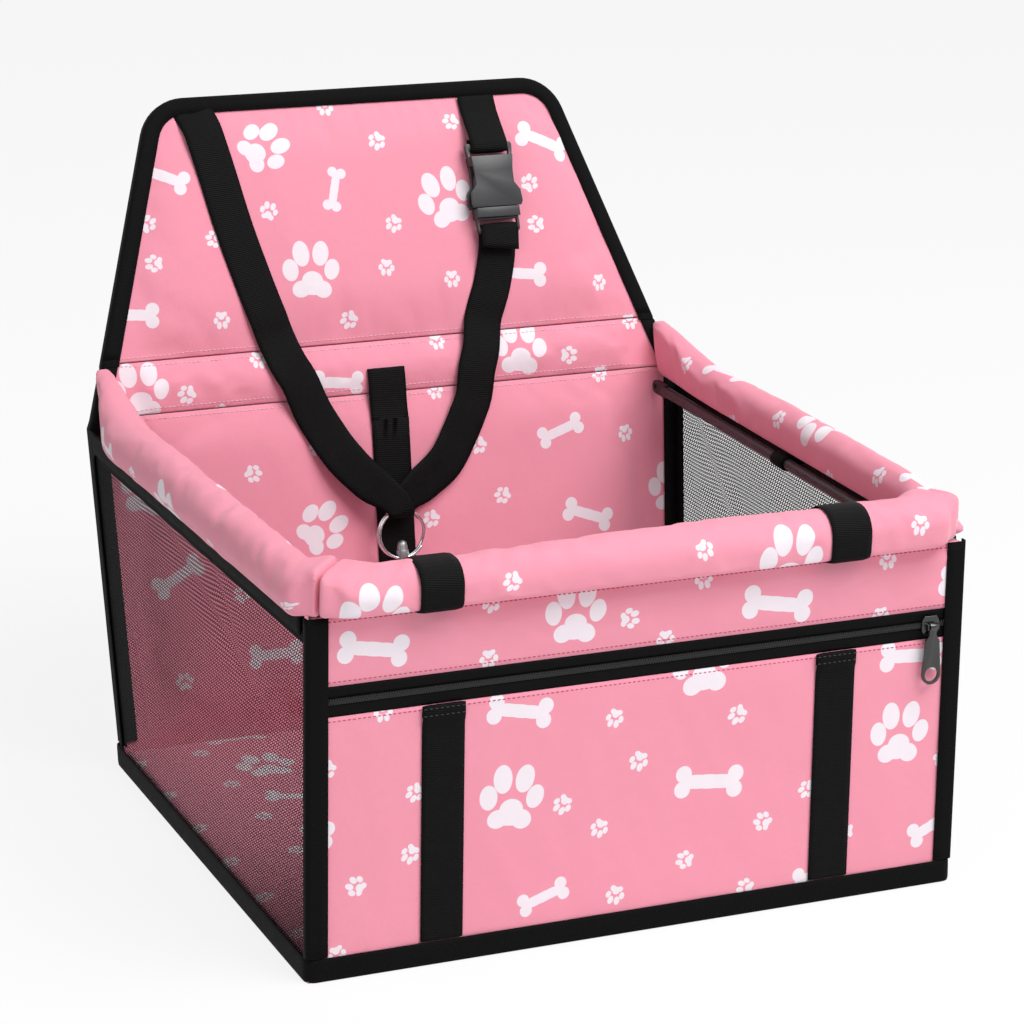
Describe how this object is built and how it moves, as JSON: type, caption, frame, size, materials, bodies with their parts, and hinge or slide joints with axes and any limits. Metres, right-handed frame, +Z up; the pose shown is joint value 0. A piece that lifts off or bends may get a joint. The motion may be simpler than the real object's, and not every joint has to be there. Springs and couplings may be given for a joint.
{
  "type": "dog car seat",
  "caption": "Open fabric dog car seat: padded floor, front and back, mesh sides, padded rails, zipped front pocket, folding flap with a buckled strap, ring and snap hook.",
  "frame": {"origin": "centre of the underside of the base", "axes": "+X across the seat to the right as seen from the front, +Y from the front to the back, +Z up"},
  "size_m": [0.41, 0.4548, 0.3905],
  "materials": {
    "printed_fabric": "printed woven polyester, quilted over thin foam",
    "plain_fabric": "plain woven polyester",
    "black_tape": "woven binding tape",
    "black_webbing": "ribbed webbing",
    "black_mesh": "open warp-knit mesh",
    "foam": "soft foam",
    "stiff_board": "stiff foam sheet",
    "black_plastic": "satin moulded plastic",
    "black_enamel": "glossy enamel",
    "rod_plastic": "satin",
    "bright_steel": "polished",
    "grey_zinc": "satin nickel"
  },
  "bodies": {
    "basket": {"back_board": "stiff_board", "back_cover": "plain_fabric", "back_lining": "printed_fabric", "back_strap": "black_webbing", "base_board": "stiff_board", "base_cover": "plain_fabric", "base_pad": "printed_fabric", "bottom_binding": "black_tape", "fold_band_pad": "printed_fabric", "front_board": "stiff_board", "front_lining": "printed_fabric", "front_rail_foam": "foam", "front_rail_sleeve": "printed_fabric", "front_rod": "rod_plastic", "front_strap_left": "black_webbing", "front_strap_right": "black_webbing", "front_strip": "printed_fabric", "left_back_binding": "black_tape", "left_front_binding": "black_tape", "left_mesh": "black_mesh", "left_mesh_binding": "black_tape", "left_rail_foam": "foam", "left_rail_sleeve": "printed_fabric", "left_rod": "rod_plastic", "left_rod_tab": "black_tape", "pocket_back": "plain_fabric", "pocket_panel": "printed_fabric", "rail_loop_left": "black_webbing", "rail_loop_right": "black_webbing", "right_back_binding": "black_tape", "right_front_binding": "black_tape", "right_mesh": "black_mesh", "right_mesh_binding": "black_tape", "right_rail_foam": "foam", "right_rail_sleeve": "printed_fabric", "right_rod": "rod_plastic", "right_rod_tab": "black_tape", "zip_chain": "black_plastic", "zip_tape_lower": "black_tape", "zip_tape_upper": "black_tape"},
    "flap": {"flap_lining": "printed_fabric", "flap_board": "stiff_board", "flap_cover": "plain_fabric", "flap_binding": "black_tape", "socket_webbing": "black_webbing", "buckle_socket": "black_plastic", "long_strap": "black_webbing"},
    "buckle_clip": {"buckle_clip": "black_plastic"},
    "left_prong": {"left_prong": "black_plastic"},
    "right_prong": {"right_prong": "black_plastic"},
    "tether_ring": {"split_ring": "bright_steel"},
    "snap_eye": {"snap_eye": "grey_zinc"},
    "snap_hook": {"snap_hook": "grey_zinc"},
    "snap_gate": {"snap_gate": "grey_zinc"},
    "zip_slider": {"zip_slider": "black_enamel"},
    "zip_pull": {"zip_pull": "black_enamel"}
  },
  "joints": [
    {"name": "backrest_fold", "type": "hinge", "parent": "basket", "child": "flap", "pos_m": [0, 0.21737, 0.2417], "axis": [1, 0, 0], "range_deg": [-20, 110], "deforming": ["long_strap"]},
    {"name": "buckle_release", "type": "slide", "parent": "flap", "child": "buckle_clip", "axis": [0, -0.3885, -0.9215], "range_m": [0, 0.026]},
    {"name": "left_prong_squeeze", "type": "hinge", "parent": "buckle_clip", "child": "left_prong", "pos_m": [0.0737, 0.237, 0.3171], "axis": [0, 0.9215, -0.3885], "range_deg": [0, 7], "stiffness_Nm_per_rad": 0.08},
    {"name": "right_prong_squeeze", "type": "hinge", "parent": "buckle_clip", "child": "right_prong", "pos_m": [0.0893, 0.237, 0.3171], "axis": [0, -0.9215, 0.3885], "range_deg": [0, 7], "stiffness_Nm_per_rad": 0.08},
    {"name": "ring_swing", "type": "hinge", "parent": "basket", "child": "tether_ring", "pos_m": [-0.0062, 0.17409, 0.14316], "axis": [-1, 0, 0], "range_deg": [0, 60]},
    {"name": "hook_swing", "type": "hinge", "parent": "tether_ring", "child": "snap_eye", "pos_m": [-0.0062, 0.16833, 0.11392], "axis": [-1, 0, 0], "range_deg": [0, 40]},
    {"name": "hook_swivel", "type": "hinge", "parent": "snap_eye", "child": "snap_hook", "pos_m": [-0.0062, 0.167, 0.10715], "axis": [0, 0.1934, 0.9811], "continuous": true},
    {"name": "gate_press", "type": "hinge", "parent": "snap_hook", "child": "snap_gate", "pos_m": [-0.00186, 0.16415, 0.09273], "axis": [0, 0.9811, -0.1934], "range_deg": [0, 25], "stiffness_Nm_per_rad": 0.02},
    {"name": "zipper_slide", "type": "slide", "parent": "basket", "child": "zip_slider", "axis": [1, 0, 0], "range_m": [-0.355, 0]},
    {"name": "pull_swing", "type": "hinge", "parent": "zip_slider", "child": "zip_pull", "pos_m": [0.1795, -0.16041, 0.15845], "axis": [-1, 0, 0], "range_deg": [0, 150]}
  ],
  "couplings": [
    {"joint": "right_prong_squeeze", "follows": "left_prong_squeeze", "ratio": 1}
  ]
}
